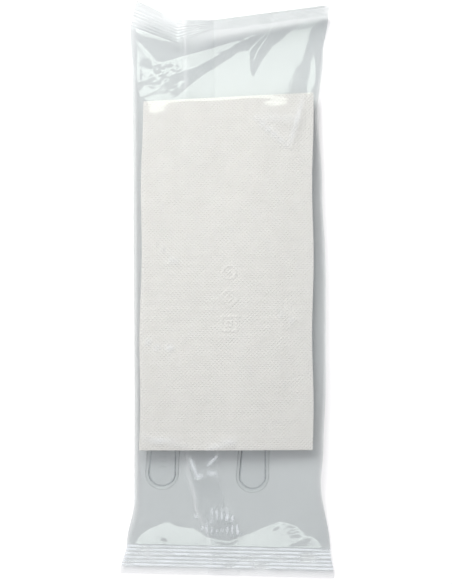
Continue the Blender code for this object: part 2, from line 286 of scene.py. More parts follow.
film_material, tree = new_material("stretched_polypropylene_film")
place = add_node(tree, "ShaderNodeTexCoord").outputs["Object"]
ripples = add_node(tree, "ShaderNodeTexNoise", {"Vector": place, "Scale": RIPPLES, "Detail": 2.0})
crinkle = add_node(
    tree, "ShaderNodeBump", {"Height": ripples.outputs[0], "Strength": 0.12, "Distance": 0.6 * MM}
)
facing = add_node(tree, "ShaderNodeLayerWeight", {"Blend": 0.5, "Normal": crinkle.outputs[0]})
grazing = math_node(tree, "POWER", facing.outputs["Facing"], 5.0)
schlick = math_node(tree, "MULTIPLY_ADD", grazing, 1 - FILM_FACE_REFLECTION, FILM_FACE_REFLECTION)
welded = add_node(tree, "ShaderNodeAttribute", attribute_name="welded").outputs["Fac"]
unwelded = math_node(tree, "MULTIPLY_ADD", welded, -WELD_LOSS, 1.0)
reflected = math_node(tree, "MULTIPLY", schlick, unwelded)
tint = add_node(
    tree, "ShaderNodeMix", {0: welded, 6: linear("#F6F7F7"), 7: linear("#FFFFFF")}, data_type="RGBA"
)
clear = add_node(tree, "ShaderNodeBsdfTransparent", {"Color": tint.outputs[2]})
gloss = add_node(
    tree,
    "ShaderNodeBsdfAnisotropic",
    {"Color": linear("#FFFFFF"), "Roughness": 0.125, "Normal": crinkle.outputs[0]},
)
skin = add_node(tree, "ShaderNodeMixShader", {0: reflected, 1: clear.outputs[0], 2: gloss.outputs[0]})
print("film reflects", FILM_FACE_REFLECTION, "of the light at each face")

# %% [markdown]
# Polypropylene turns milky where it is strained: in the pressed lines of the crimps, along the gathered fin
# and in sharp creases. A second attribute on the mesh marks these places. Its white lines are partly that
# strain and partly painted highlights: the bright lines that crimps, gathers and creases catch from the
# lamps. There a haze takes the clear skin's place. About two thirds of it is lit from in front and a third
# lets light through from behind, as milky film does. A trace of the same haze, in broad clouds, stands for
# handling scuffs.

# %% Film material: milky haze and painted highlights
HAZE_FROM_BEHIND = 0.35
# The strain haze also draws the painted highlight lines on the crimps, gathers and creases
SCUFF_HAZE, STRAIN_AND_HIGHLIGHT_HAZE = 0.035, 0.75
SCUFFS = 45.0  # to a metre: one about every 22 mm

bounced = add_node(tree, "ShaderNodeBsdfDiffuse", {"Color": linear("#EEF3F6")})
let_through = add_node(tree, "ShaderNodeBsdfTranslucent", {"Color": linear("#FAFBFC")})
haze = add_node(
    tree, "ShaderNodeMixShader", {0: HAZE_FROM_BEHIND, 1: bounced.outputs[0], 2: let_through.outputs[0]}
)
scuffs = add_node(tree, "ShaderNodeTexNoise", {"Vector": place, "Scale": SCUFFS, "Detail": 4.0})
# Strain whitening and painted highlight lines, read from the mesh
whitened = add_node(tree, "ShaderNodeAttribute", attribute_name="whitened").outputs["Fac"]
strain_and_highlight = math_node(tree, "MULTIPLY", whitened, STRAIN_AND_HIGHLIGHT_HAZE)
hazy = math_node(tree, "MULTIPLY_ADD", scuffs.outputs[0], SCUFF_HAZE, strain_and_highlight)
film_shader = add_node(tree, "ShaderNodeMixShader", {0: hazy, 1: skin.outputs[0], 2: haze.outputs[0]})
add_node(tree, "ShaderNodeOutputMaterial", {"Surface": film_shader.outputs[0]})
print(film_material.name, "has", len(tree.nodes), "nodes")

# %% [markdown]
# ## Tissue
# The napkin is two-ply cellulose tissue. Its surface is matt and fibrous, and embossing rollers press a
# lattice of fine dots into it, at 45 degrees and about 1.2 mm apart. The dots are too small to model one by
# one, so they are bump on the sheet's own map, which follows the sheet round its folds.

# %% Tissue material
SHEET_WIDTH, SHEET_LENGTH = 322.6, 330.3  # of the unfolded napkin, in millimetres
DOT_PITCH = 1.25
FIBRES, CLOUDS = 420.0, 38.0  # across the whole sheet: tufts of fibre 0.8 mm wide, clouds 8.5 mm wide
DOT_HEIGHT = 0.24 * MM

tissue, tree = new_material("embossed_cellulose_tissue")
sheet_map = add_node(tree, "ShaderNodeUVMap", uv_map="sheet").outputs[0]
fibre_noise = add_node(tree, "ShaderNodeTexNoise", {"Vector": sheet_map, "Scale": FIBRES, "Detail": 5.0})
cloud_noise = add_node(tree, "ShaderNodeTexNoise", {"Vector": sheet_map, "Scale": CLOUDS, "Detail": 3.0})
axes = add_node(tree, "ShaderNodeSeparateXYZ", {0: sheet_map})
turns_to_mm = 2 * pi / (DOT_PITCH * sqrt(2))
wave_across = math_node(tree, "SINE", math_node(tree, "MULTIPLY", axes.outputs[0], turns_to_mm * SHEET_WIDTH))
wave_along = math_node(tree, "SINE", math_node(tree, "MULTIPLY", axes.outputs[1], turns_to_mm * SHEET_LENGTH))
lattice = math_node(tree, "MAXIMUM", math_node(tree, "MULTIPLY", wave_across, wave_along), 0.0)
dots = math_node(tree, "POWER", lattice, 1.5)
tissue_relief = math_node(tree, "ADD", fibre_noise.outputs[0], dots)
embossed = add_node(
    tree, "ShaderNodeBump", {"Height": tissue_relief, "Strength": 1.0, "Distance": DOT_HEIGHT}
)
shade = add_node(
    tree,
    "ShaderNodeMix",
    {0: cloud_noise.outputs[0], 6: linear("#EDEAE4"), 7: linear("#F7F4EE")},
    data_type="RGBA",
)
paper = add_node(
    tree,
    "ShaderNodeBsdfPrincipled",
    {
        "Base Color": shade.outputs[2],
        "Roughness": 0.95,
        "Specular IOR Level": 0.2,
        "Sheen Weight": 0.15,
        "Sheen Roughness": 0.6,
        "Normal": embossed.outputs[0],
    },
)
add_node(tree, "ShaderNodeOutputMaterial", {"Surface": paper.outputs[0]})
print("tissue embossed with dots", DOT_PITCH, "mm apart")

# %% [markdown]
# ## Clear moulded plastic
# Knife and fork are injection-moulded general-purpose polystyrene, a clear and brittle plastic with a high
# index of 1.59 and a polished surface. It is solid, so light bends in it: full transmission on a
# Principled shader. Under light this even a clear solid shows no edges. So its steep faces get painted shade,
# a grey tint that stands in for the dark lines that bent light draws along its edges, and its specular level
# is raised a little. Shadow rays and rays that have left a matt surface go straight through a nearly clear
# stand-in, because focused light would only come out as noise.

# %% Polystyrene material
FLOW_MARKS = 160.0  # to a metre: one about every 6 mm

clear_plastic, tree = new_material("clear_moulded_polystyrene")
place = add_node(tree, "ShaderNodeTexCoord").outputs["Object"]
flow = add_node(tree, "ShaderNodeTexNoise", {"Vector": place, "Scale": FLOW_MARKS, "Detail": 2.0})
flow_marks = add_node(
    tree, "ShaderNodeBump", {"Height": flow.outputs[0], "Strength": 0.08, "Distance": 0.3 * MM}
)
shape = add_node(tree, "ShaderNodeNewGeometry").outputs["Normal"]
upright = math_node(tree, "ABSOLUTE", add_node(tree, "ShaderNodeSeparateXYZ", {0: shape}).outputs[2])
# Painted shade: steep faces turn grey, for the dark lines that bent light draws along the edges
flatness = add_node(tree, "ShaderNodeMapRange", {0: upright, 1: 0.35, 2: 0.85})
painted_edge_shade = add_node(
    tree,
    "ShaderNodeMix",
    {0: flatness.outputs[0], 6: linear("#8F989E"), 7: linear("#FDFEFE")},
    data_type="RGBA",
)
solid = add_node(
    tree,
    "ShaderNodeBsdfPrincipled",
    {
        "Base Color": painted_edge_shade.outputs[2],
        "Roughness": 0.04,
        "IOR": 1.59,
        "Specular IOR Level": 0.9,
        "Transmission Weight": 1.0,
        "Normal": flow_marks.outputs[0],
    },
)
ray_kind = add_node(tree, "ShaderNodeLightPath").outputs
soft_light = math_node(tree, "MAXIMUM", ray_kind["Is Shadow Ray"], ray_kind["Is Diffuse Ray"])
stand_in = add_node(tree, "ShaderNodeBsdfTransparent", {"Color": linear("#FEFEFE")})
moulded = add_node(tree, "ShaderNodeMixShader", {0: soft_light, 1: solid.outputs[0], 2: stand_in.outputs[0]})
add_node(tree, "ShaderNodeOutputMaterial", {"Surface": moulded.outputs[0]})
print(clear_plastic.name, "has", len(tree.nodes), "nodes")

# %% [markdown]
# ## Napkin
# A sheet of tissue is folded in half three times: once across its end, then twice along its length. It is
# made the way it is folded. A flat grid is one sheet, with fine cells only where the top leaf will be and
# tight ones at the folds. Two paths then carry it: one goes back and forth along the pack, and the other
# winds across it.

# %% Leaves of the napkin
napkin_low, napkin_high = (np.array(corner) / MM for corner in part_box("napkin"))
LEAF_PITCH = 0.65  # of a doubled leaf
TISSUE = 0.25
PLY_OFFSET = 0.1625  # from the middle of a doubled leaf to the middle of each of its layers
napkin_middle = (napkin_low + napkin_high) / 2
HALF_LEAF = (napkin_high[0] - napkin_low[0]) / 2 - 1.5 * LEAF_PITCH
HALF_LENGTH = (napkin_high[1] - napkin_low[1]) / 2
print("napkin box", np.round(napkin_high - napkin_low, 1), "mm")

# %% Arcs and paths


def arc(centre, radius, start, end, turn=1, count=16):
    """Points of an arc with unit normals; turn is -1 where the normals point to its centre."""
    angles = np.radians(np.linspace(start, end, count))
    normal = np.column_stack([np.cos(angles), np.sin(angles)])
    return np.hstack([np.array(centre) + radius * normal, turn * normal])


class Path:
    """A path through points with normals, read by the distance along it."""

    def __init__(self, *pieces):
        self.points = np.vstack(pieces)
        gaps = np.linalg.norm(np.diff(self.points[:, :2], axis=0), axis=1)
        self.distance = np.concatenate([[0.0], np.cumsum(gaps)])
        self.length = self.distance[-1]

    def at(self, distance):
        """Both coordinates and the unit normal at a distance from the path's start."""
        found = [np.interp(distance, self.distance, self.points[:, i]) for i in range(4)]
        size = np.hypot(found[2], found[3])
        return found[0], found[1], found[2] / size, found[3] / size


# %% The two folds
level = [LEAF_PITCH * (i + 0.5) for i in range(4)]  # heights of the four doubled leaves
cross_fold = Path(
    [[HALF_LEAF + LEAF_PITCH, level[3], 0, 1]],
    arc((-HALF_LEAF, 2 * LEAF_PITCH), 1.5 * LEAF_PITCH, 90, 270),
    arc((HALF_LEAF, LEAF_PITCH), 0.5 * LEAF_PITCH, -90, 90),
    arc((-HALF_LEAF, 2 * LEAF_PITCH), 0.5 * LEAF_PITCH, 270, 90, turn=-1),
    [[HALF_LEAF + LEAF_PITCH, level[2], 0, -1]],
)
end_fold = Path(
    [[HALF_LENGTH, PLY_OFFSET, 0, 1]],
    arc((PLY_OFFSET - HALF_LENGTH, 0), PLY_OFFSET, 90, 270),
    [[HALF_LENGTH, -PLY_OFFSET, 0, -1]],
)
print("sheet", round(cross_fold.length, 1), "x", round(end_fold.length, 1), "mm")

# %% Cells of the sheet


def cells(*runs):
    """Distances from runs of (end, step), each continuing from the one before."""
    out = [0.0]
    for end, step in runs:
        start = out[-1]
        count = max(1, round((end - start) / step))
        out += [mix(start, end, (i + 1) / count) for i in range(count)]
    return np.array(out)


FINE, MEDIUM, COARSE, FOLD = 0.42, 1.0, 6.0, 0.12  # steps between points
MOTIF_X, MOTIF_Y = (-4.5, 6.5), (-21.0, 14.0)  # the ornaments' field on the top leaf
leaf_end = HALF_LEAF * 2 + LEAF_PITCH
outer_bend = 1.5 * pi * LEAF_PITCH
tight_bend = 0.5 * pi * LEAF_PITCH
leaf = 2 * HALF_LEAF
motif_u = [napkin_middle[0] + HALF_LEAF + LEAF_PITCH - x for x in reversed(MOTIF_X)]
motif_v = [napkin_middle[1] + HALF_LENGTH - y for y in reversed(MOTIF_Y)]
ends = np.cumsum([leaf_end, outer_bend, leaf, tight_bend, leaf, tight_bend])
u_cells = cells(
    (motif_u[0], MEDIUM),
    (motif_u[1], FINE),
    (ends[0], MEDIUM),
    (ends[1], 2.5 * FOLD),
    (ends[2], COARSE),
    (ends[3], FOLD),
    (ends[4], COARSE),
    (ends[5], FOLD),
    (cross_fold.length, COARSE),
)
crease_start = 2 * HALF_LENGTH - PLY_OFFSET
v_cells = cells(
    (motif_v[0], MEDIUM),
    (motif_v[1], FINE),
    (crease_start, MEDIUM),
    (crease_start + pi * PLY_OFFSET, FOLD / 2),
    (end_fold.length, COARSE),
)
print(len(u_cells), "x", len(v_cells), "points on the sheet")

# %% [markdown]
# The top leaf carries pressed relief: soft diamond quilting 6 mm across, and three plain ornaments, a ring
# with a centre dot, a nested diamond and a nested square, as rollers emboss them on plain napkins. The whole
# stack sags a little between the knife and the fork under it, and droops towards its right side and its
# near end. Relief and sag are formulas, so that every layer can follow them.

# %% Relief and sag of the napkin
QUILT_SIZE = 6.0


def band(distance, width):
    """1 within half a width of a line, fading to 0 at a full width."""
    return 1 - ease(np.abs(distance) / width)


def ornaments(x, y):
    """Relief of three plain ornaments in a row along the leaf."""
    relief = np.zeros_like(x)
    across, along = x - 1.0, y - 8.8
    relief += band(np.hypot(across, along) - 3.0, 0.75) + band(np.hypot(across, along), 1.1)
    along = y + 3.0
    relief += band(np.abs(across) + np.abs(along) - 4.4, 0.9)
    relief += band(np.abs(across) + np.abs(along) - 1.6, 0.8)
    along = y + 15.0
    square = np.maximum(np.abs(across), np.abs(along))
    relief += band(square - 3.4, 0.75) + band(square - 1.1, 0.7)
    return np.minimum(relief, 1.0)


def quilting(x, y):
    """Raised diamonds with sunk lines between them, from -1 to 1."""
    turn = 2 * pi / (QUILT_SIZE * sqrt(2))
    return np.cos(turn * (x + y)) * np.cos(turn * (x - y))


def undulation(x, y):
    """How far the stack sags at a place, always downwards."""
    waves = np.sin(0.11 * x + 0.05 * y + 0.6) + np.sin(0.045 * y - 0.07 * x + 2.0)
    waves += 0.6 * np.sin(0.19 * x - 0.13 * y) + 0.5 * np.sin(0.22 * y + 0.1 * x + 1.0)
    between = np.exp(-(((x + 2) / 9) ** 2))
    droop = 1.9 * ease((x - 4) / 38) + 1.0 * ease((-35 - y) / 50)
    return -0.16 * (1 - waves / 3.1) - 0.35 * between * ease((y + 75) / 40) - droop


print("the middle of the napkin sags", round(-float(undulation(0.0, 0.0)), 2), "mm")

# %% [markdown]
# The sheet is carried along both paths at once: one gives each point its place across the pack, the other
# its place along it and its layer. The loose edges don't quite line up, so each layer slips a little.

# %% Napkin sheet
TISSUE_QUILTING, TISSUE_ORNAMENTS = 0.06, 0.32  # heights of the relief

napkin, column, row = add_grid("folded_napkin", len(u_cells) - 1, len(v_cells) - 1)
u, v = u_cells[column], v_cells[row]
px, pz, nx, nz = cross_fold.at(u)
py, offset, _, _ = end_fold.at(v)
x, y, z = px + offset * nx, py, pz + offset * nz

to_open_end = (y + HALF_LENGTH) / (2 * HALF_LENGTH)
slip = 1.3 * (u / cross_fold.length - 0.35) + np.where(offset * nz > 0, 0.0, 0.9)
y += to_open_end * (0.05 * x - slip - 1.1)
x += to_open_end * 1.6 * (0.5 - x / (2 * HALF_LEAF)) - 0.8
x += 0.35 * np.sin(0.09 * y + 1.0)
top_leaf = (u < leaf_end) & (v < crease_start)
mx, my = x + napkin_middle[0], y + napkin_middle[1]
edge_gap = np.minimum(HALF_LEAF - np.abs(x), HALF_LENGTH - np.abs(y))
pressed_area = ease(edge_gap / 3)
relief = pressed_area * (TISSUE_QUILTING * quilting(mx, my) + TISSUE_ORNAMENTS * ornaments(mx, my))
z = z + napkin_low[2] - 0.02 + undulation(mx, my) + np.where(top_leaf, relief, 0.0)
set_places(napkin, mx, my, z)
print("points on the top leaf:", int(top_leaf.sum()))

# %% Napkin map and thickness
uv = napkin.data.uv_layers[0]
uv.name = "sheet"
corner = np.empty(len(napkin.data.loops), int)
napkin.data.loops.foreach_get("vertex_index", corner)
sheet_uv = np.column_stack([u / cross_fold.length, v / end_fold.length])[corner]
uv.data.foreach_set("uv", sheet_uv.ravel())
apply_modifier(napkin, "SOLIDIFY", thickness=TISSUE * MM, offset=0)
finish_piece(napkin, tissue, "napkin", 60)

# %% [markdown]
# ## Knife and fork
# Each is one moulding. It starts as one flat blank, a grid primitive whose columns run along the handle and
# whose rows bow into the round ends. The blank is extruded, and its edges are bevelled. Tapered cutters sink
# a panel into both faces of the handle, and only after that do the blade, the neck and the tines get their
# own thickness and height. That keeps every outline in one place, and the same steps serve both pieces.

# %% Sizes and outlines
HANDLE_THICK, HANDLE_END = 2.8, 7.75  # the butt is a half round of this radius
PANEL_DEPTH, PANEL_RIM, PANEL_DRAFT = 0.9, 1.5, 0.6
CUTLERY_Z = 0.9


def through(keys, s):
    """Eased value at s through (station, value) keys, for arrays."""
    s = np.asarray(s, float)
    out = np.full(s.shape, float(keys[-1][1]))
    for (s0, v0), (s1, v1) in reversed(list(zip(keys, keys[1:]))):
        out = np.where(s <= s1, mix(v0, v1, ease((s - s0) / (s1 - s0))), out)
    return out


def bowed_rows(*keys):
    """Rows between key rows of (station at the sides, bow towards the butt, count of rows up to here)."""
    sides, bows = [keys[0][0]], [keys[0][1]]
    for (s0, bow0, _), (s1, bow1, count) in zip(keys, keys[1:]):
        for i in range(1, count + 1):
            sides.append(mix(s0, s1, i / count))
            bows.append(mix(bow0, bow1, i / count))
    return np.array(sides), np.array(bows)


print("handles", 2 * HANDLE_END, "mm wide and", HANDLE_THICK, "mm thick")

# %% Flat blank


def make_blank(name, columns, rows, half_widths):
    """A flat outline along +Y, its round butt at the origin. Rim cells run round its sides and its butt."""
    sides, bows = rows
    ob, column, row = add_grid(name, columns, len(sides))
    inner = np.clip((column - 1) / (columns - 2), 0, 1) * 2 - 1
    angle = pi / 2 * inner
    rim_column = (column == 0) | (column == columns)
    side = np.where(column * 2 < columns, -1, 1)
    level_row = np.maximum(row - 1, 0)
    s, bow = sides[level_row], bows[level_row]
    left, right = half_widths(s)
    half = np.where(inner < 0, left, right)
    on_round_end = (bow == bows[0]) | (bow == bows.min())
    across = np.where(on_round_end, np.sin(angle), inner)
    x = np.where(rim_column, side * half, (half - PANEL_RIM) * across)
    rim_lag = 1.2 * ease((30 - s) / 20)
    y = np.where(rim_column, s + rim_lag, s - bow * np.sqrt(1 - across**2))
    butt = row == 0
    swept = np.where(rim_column, side * pi / 2, angle * 0.93)
    x = np.where(butt, HANDLE_END * np.sin(swept), x)
    y = np.where(butt, HANDLE_END * (1 - np.cos(swept)), y)
    set_places(ob, x, y, np.zeros_like(x))
    print(name, "blank of", columns, "x", len(sides), "cells")
    return ob, column, row


# %% [markdown]
# Extrude gives the blank its walls, and a small bevel rounds all its edges. The top and the underside of the
# rim then slope outwards, as a mould's faces do, so that the rim shows as a line of its own.

# %% Thickness and edges
RIM_SLOPE = 0.55
RIM_TO, RIM_FADE = 95, 15  # the rim's slope fades out along the neck


def edit_faces(ob, action):
    """Enters edit mode in face mode, with every face selected or deselected."""
    select_only(ob)
    bpy.ops.object.mode_set(mode="EDIT")
    bpy.ops.mesh.select_mode(type="FACE")
    bpy.ops.mesh.select_all(action=action)


def thicken(ob, edge, half_width):
    """Extrudes a blank to its thickness, rounds its edges and slopes the handle's rim outwards."""
    edit_faces(ob, "SELECT")
    bpy.ops.mesh.extrude_region_move(TRANSFORM_OT_translate={"value": (0, 0, HANDLE_THICK * MM)})
    bpy.ops.mesh.select_all(action="SELECT")
    bpy.ops.mesh.normals_make_consistent(inside=False)
    bpy.ops.object.mode_set(mode="OBJECT")
    apply_modifier(ob, "BEVEL", width=edge * MM, segments=3, limit_method="ANGLE", angle_limit=radians(35))
    x, y, z = places(ob)
    reach = np.hypot(x, y - np.clip(y, HANDLE_END, None))
    rim = np.clip(1 - (half_width(y) - reach) / PANEL_RIM, 0, 1) * ease((RIM_TO - y) / RIM_FADE)
    set_places(ob, x, y, z - RIM_SLOPE * rim * (z * 2 / HANDLE_THICK - 1))
    print(ob.name, "has", len(ob.data.polygons), "faces once its edges are round")


def lay_down(ob, butt, tilt):
    """Turns a piece about its butt, puts it in the pack and leaves its object at the origin."""
    select_only(ob)
    ob.location = (butt[0] * MM, butt[1] * MM, CUTLERY_Z * MM)
    ob.rotation_euler.z = radians(tilt)
    bpy.ops.object.transform_apply(location=True, rotation=True, scale=True)


def union_with(ob, parts):
    """Joins small raised details to a piece, so that it stays one closed body."""
    for part in parts:
        apply_modifier(ob, "BOOLEAN", operation="UNION", solver="EXACT", object=part)
        bpy.data.objects.remove(part)


# %% [markdown]
# The sunk panel has sloping sides and round ends. Its cutter is a low cone primitive with one half moved
# along to the panel's far end. It stands a little proud of the face, so that the cut is clean.

# %% Sunk panels
CUTTER_PROUD = 0.3


def sink_panels(ob, far, panel_half):
    """Cuts a panel with sloping sides into both faces of a handle."""
    near_half, far_half = panel_half(HANDLE_END), panel_half(far)
    cut_height = PANEL_DEPTH + CUTTER_PROUD
    flare = PANEL_DRAFT * cut_height / PANEL_DEPTH
    for up in (1, -1):
        floor_half = near_half - PANEL_DRAFT
        radii = (floor_half, floor_half + flare) if up > 0 else (floor_half + flare, floor_half)
        middle = HANDLE_THICK / 2 + up * (HANDLE_THICK + CUTTER_PROUD - PANEL_DEPTH) / 2
        deselect()
        bpy.ops.mesh.primitive_cone_add(
            vertices=64, radius1=radii[0] * MM, radius2=radii[1] * MM, depth=cut_height * MM
        )
        cutter = bpy.context.object
        x, y, z = places(cutter)
        at_far = y > 0
        x = np.where(at_far, x * far_half / near_half, x)
        y = np.where(at_far, far + y * far_half / near_half, HANDLE_END + y)
        set_places(cutter, x, y, z + middle)
        apply_modifier(ob, "BOOLEAN", operation="DIFFERENCE", solver="EXACT", object=cutter)
        bpy.data.objects.remove(cutter)
    print(ob.name, "has a panel", round(far - HANDLE_END + near_half + far_half, 1), "mm long in each face")


# %% [markdown]
# ### Knife
# The blade is a thin wedge, with a row of fine teeth along its curved edge. The keys below give the half
# width on each side at stations along the knife. The tip is round, so the last row of the blank is bent
# into an arc.

# %% Knife blank
KNIFE_LENGTH, KNIFE_PANEL_FAR, TIP = 187.0, 74.0, 2.5
SPINE = [(0, 7.75), (20, 7.6), (84, 5.4), (110, 6.2), (160, 5.4), (187, 2.5)]
BELLY = [(0, 7.75), (20, 7.6), (84, 5.4), (104, 10.4), (150, 10.2), (187, 2.5)]
TEETH_FROM, TEETH_TO, TOOTH_STEP, TOOTH_DEPTH = 108.0, 168.0, 1.2, 0.5


def knife_panel_half(s):
    """Half width of the panel at s from the butt."""
    return float(through(SPINE, s)) - PANEL_RIM


knife_end_half = knife_panel_half(KNIFE_PANEL_FAR)
knife_rows = bowed_rows(
    (HANDLE_END, HANDLE_END - PANEL_RIM, 0),
    (KNIFE_PANEL_FAR, -knife_end_half, 26),
    (96.0, 0.0, 7),
    (TEETH_FROM, 0.0, 5),
    (TEETH_TO, 0.0, 100),
    (KNIFE_LENGTH - TIP - 4, -1.0, 9),
    (KNIFE_LENGTH - TIP, -TIP, 3),
)
KNIFE_COLUMNS = 20
knife, column, row = make_blank(
    "clear_knife", KNIFE_COLUMNS, knife_rows, lambda s: (through(BELLY, s), through(SPINE, s))
)
x, y, z = places(knife)
last = row == row.max()
swept = (2 * column / KNIFE_COLUMNS - 1) * pi / 2
x = np.where(last, TIP * np.sin(swept), x)
y = np.where(last, KNIFE_LENGTH - TIP + TIP * np.cos(swept), y)
set_places(knife, x, y, z)
thicken(knife, 0.6, lambda s: through(SPINE, s))
sink_panels(knife, KNIFE_PANEL_FAR, knife_panel_half)

# %% Blade and teeth
x, y, z = places(knife)
belly, spine = through(BELLY, y), through(SPINE, y)
from_edge = np.clip(x + belly, 0, None)
# 0.6 mm at the edge, a ground bevel 3.2 mm wide, then a slow taper up to 1.8 mm at the spine
blade = 0.6 + 0.75 * ease(from_edge / 3.2) + 0.45 * ease(from_edge / (belly + spine))
thick = mix(HANDLE_THICK, blade, ease((y - KNIFE_PANEL_FAR - knife_end_half) / 18))
z = HANDLE_THICK / 2 + (z - HANDLE_THICK / 2) * thick / HANDLE_THICK
toothed = (y > TEETH_FROM) & (y < TEETH_TO)
bite = np.abs((y / TOOTH_STEP) % 1 - 0.5) * 2
near_edge = 1 - ease((x + belly) / 1.2)
set_places(knife, x + np.where(toothed, TOOTH_DEPTH * bite * near_edge, 0), y, z)
print(round((TEETH_TO - TEETH_FROM) / TOOTH_STEP), "teeth")

# %% [markdown]
# Four small cross ribs in the panel are plain mould marks, joined on so that the knife stays one body.

# %% Knife ribs


def add_block(name, size, centre, bevel):
    """A small bevelled block; sizes in millimetres."""
    deselect()
    bpy.ops.mesh.primitive_cube_add(size=1, location=[v * MM for v in centre])
    block = bpy.context.object
    block.name = name
    block.scale = [v * MM for v in size]
    bpy.ops.object.transform_apply(location=True, rotation=True, scale=True)
    apply_modifier(block, "BEVEL", width=bevel * MM, segments=2)
    return block


panel_floor = HANDLE_THICK - PANEL_DEPTH
RIBS = [10.6, 13.0, 15.4, 17.8]
union_with(knife, [add_block("rib", (3.3, 0.9, 0.8), (0, s, panel_floor), 0.3) for s in RIBS])
lay_down(knife, (-31.0, -92.8), -3.8)
finish_piece(knife, clear_plastic, "knife", 30)

# %% [markdown]
# ### Fork
# The fork has four tines. Its blank has two cells across each tine and three across each slot. Those of the
# slots are deleted before the blank is extruded, so that the slots' ends come out round.

# %% Fork blank
FORK_LENGTH, FORK_PANEL_FAR, NECK, TINE_ROOT = 178.0, 70.0, 108.0, 136.0
FORK_HALF = [(0, 7.75), (20, 7.3), (104, 3.6), (134, 11.6), (150, 12.2), (178, 11.4)]
TINE_PITCH, TINE_THICK = 6.3, 1.5


def fork_panel_half(s):
    """Half width of the panel at s from the butt."""
    return float(through(FORK_HALF, s)) - PANEL_RIM


PANEL_ROWS, NECK_ROWS, HEAD_ROWS, TINE_ROWS = 24, 7, 18, 22
fork_rows = bowed_rows(
    (HANDLE_END, HANDLE_END - PANEL_RIM, 0),
    (FORK_PANEL_FAR, -fork_panel_half(FORK_PANEL_FAR), PANEL_ROWS),
    (92.0, 0.0, NECK_ROWS),
    (TINE_ROOT, 0.0, HEAD_ROWS),
    (FORK_LENGTH, 0.0, TINE_ROWS),
)
fork, column, row = make_blank(
    "clear_fork", 17, fork_rows, lambda s: (through(FORK_HALF, s), through(FORK_HALF, s))
)

# %% Tines
CELLS_PER_TINE = 5  # two across the tine and three across the slot beside it

x, y, z = places(fork)
to_tip = ease((y - TINE_ROOT) / (FORK_LENGTH - TINE_ROOT))
tine_half = mix(2.1, 1.0, to_tip)
pitch = TINE_PITCH * mix(1.0, 0.94, to_tip)
tine, place_in_tine = np.divmod(column, CELLS_PER_TINE)
centre = (tine - 1.5) * pitch
in_tine = centre + (place_in_tine - 1) * tine_half
gap_width = pitch - 2 * tine_half
in_slot = centre + tine_half + gap_width * (place_in_tine - 2) / 3
head_x = np.where(place_in_tine <= 2, in_tine, in_slot)
x = mix(x, head_x, ease((y - NECK) / (TINE_ROOT - NECK)))
slot_point = place_in_tine > 2
root_row = 1 + PANEL_ROWS + NECK_ROWS + HEAD_ROWS
y = np.where(slot_point & (row == root_row), y - 0.9, y)
tine_side = (place_in_tine == 0) | (place_in_tine == 2)
y = np.where(tine_side & (row == row.max()), y - 0.8, y)
x = np.where(tine_side & (row == row.max()), mix(x, centre, 0.35), x)
set_places(fork, x, y, z)
print(tine.max() + 1, "tines", round(float(pitch.max()), 1), "mm apart")

# %% Slots, thickness and panels
edit_faces(fork, "DESELECT")
bm = bmesh.from_edit_mesh(fork.data)
bm.verts.ensure_lookup_table()
for face in bm.faces:
    first_row = min(row[v.index] for v in face.verts)
    first_column = min(column[v.index] for v in face.verts)
    face.select_set(bool(first_row >= root_row and first_column % CELLS_PER_TINE >= 2))
bmesh.update_edit_mesh(fork.data)
bpy.ops.mesh.delete(type="FACE")
bpy.ops.object.mode_set(mode="OBJECT")
thicken(fork, 0.5, lambda s: through(FORK_HALF, s))
sink_panels(fork, FORK_PANEL_FAR, fork_panel_half)

# %% [markdown]
# The neck is arched, the head is a little dished across, and the tines lift at their tips. A round ejector
# mark, where a pin pushed the moulding out of its mould, stands in the handle's panel.

# %% Fork heights and ejector mark
x, y, z = places(fork)
lift = through([(0, 0), (88, 0), (108, 1.3), (138, 0), (178, 3.0)], y)
dish = 0.35 * ease((y - 118) / 16) * (x / 12) ** 2
thick = mix(HANDLE_THICK, TINE_THICK, ease((y - 80) / 60))
set_places(fork, x, y, lift + dish + z * thick / HANDLE_THICK)


def add_disc(name, radius, height, centre):
    """A small bevelled disc; sizes in millimetres."""
    deselect()
    bpy.ops.mesh.primitive_cylinder_add(
        radius=radius * MM, depth=height * MM, vertices=32, location=[v * MM for v in centre]
    )
    disc = bpy.context.object
    disc.name = name
    bpy.ops.object.transform_apply(location=True, rotation=True, scale=True)
    apply_modifier(disc, "BEVEL", width=0.08 * MM, segments=2, limit_method="ANGLE")
    return disc


union_with(fork, [add_disc("ejector_mark", 1.15, 0.4, (0, 11.3, panel_floor))])
lay_down(fork, (11.5, -94.2), -3.0)
finish_piece(fork, clear_plastic, "fork", 30)

# %% [markdown]
# ## Film wrap
# One web of film, 231 mm wide, is folded round the load into a tube. Its two long edges are welded into a
# fin that is folded flat against the back, and both ends are flattened and crimped. The grid's columns run
# round the web from one edge to the other, and its rows run along the pack.
# First come the tube's plain shape, its edges and its seals, and then the folds.

# %% Film outline
PACK_HALF, SEAL_START, SEAL_Z = 133.2, 119.6, 2.0
CUT_SLOPE = -0.0239
FULL_FROM, FULL_TO = -76.5, 94.0
FLAT_FROM, FLAT_TO = -98.0, 97.0
TOP_Z, EDGE_Z, BACK_Z = 9.9, 4.5, 0.5
CRIMP_PITCH, CRIMPS, CRIMP_HEIGHT = 1.75, 6, 0.13
# The curled far seal's lower border: (x, y, tilt in degrees, height)
FAR_CURL = [(-45.3, 124.1, 41, 4.4), (-23.3, 115.9, 48, 6.2), (-8.5, 121.5, 78, 5.5), (47.5, 129.7, 80, 2.4)]
